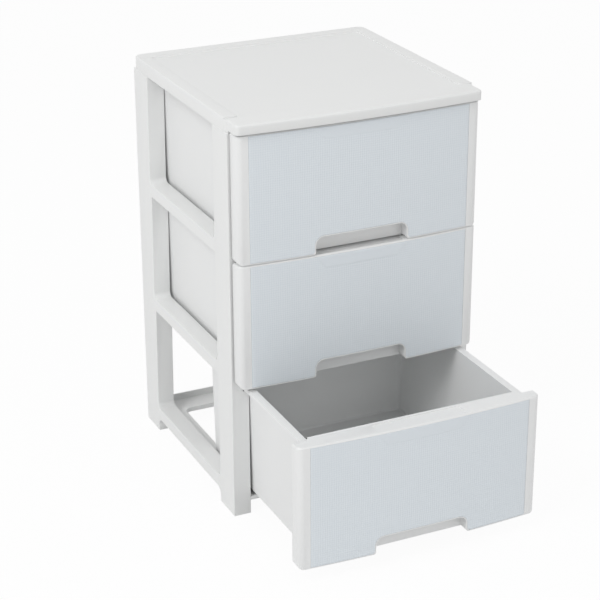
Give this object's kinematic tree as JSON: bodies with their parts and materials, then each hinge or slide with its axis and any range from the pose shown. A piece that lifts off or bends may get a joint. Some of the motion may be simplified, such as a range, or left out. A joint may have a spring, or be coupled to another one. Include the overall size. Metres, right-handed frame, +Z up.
{
  "type": "plastic drawer unit",
  "caption": "Free-standing moulded plastic drawer unit: ladder side frames, open shelves, lid with raised rims, and bowed drawers with notch handles.",
  "frame": {"origin": "on the floor, midway between the side frames and midway from the front posts to the rear posts", "axes": "+Z up, +X to the right of someone facing the drawers, the drawers slide out towards -Y"},
  "size_m": [0.39, 0.5868, 0.6174],
  "materials": {
    "frame_plastic": "white moulded polypropylene, satin",
    "drawer_plastic": "white moulded polypropylene, satin",
    "face_insert": "pale blue-grey, moulded linen grain"
  },
  "bodies": {
    "cabinet": {"left_side_frame": "frame_plastic", "right_side_frame": "frame_plastic", "base_frame": "frame_plastic", "lower_shelf": "frame_plastic", "upper_shelf": "frame_plastic", "top_cover": "frame_plastic"},
    "lower_drawer": {"lower_drawer_tub": "drawer_plastic", "lower_drawer_front": "drawer_plastic", "lower_face_insert": "face_insert"},
    "middle_drawer": {"middle_drawer_tub": "drawer_plastic", "middle_drawer_front": "drawer_plastic", "middle_face_insert": "face_insert"},
    "upper_drawer": {"upper_drawer_tub": "drawer_plastic", "upper_drawer_front": "drawer_plastic", "upper_face_insert": "face_insert"}
  },
  "joints": [
    {"name": "lower_drawer_slide", "type": "slide", "parent": "cabinet", "child": "lower_drawer", "axis": [0, -1, 0], "range_m": [-0.195, 0.06]},
    {"name": "middle_drawer_slide", "type": "slide", "parent": "cabinet", "child": "middle_drawer", "axis": [0, -1, 0], "range_m": [0, 0.255]},
    {"name": "upper_drawer_slide", "type": "slide", "parent": "cabinet", "child": "upper_drawer", "axis": [0, -1, 0], "range_m": [0, 0.255]}
  ]
}
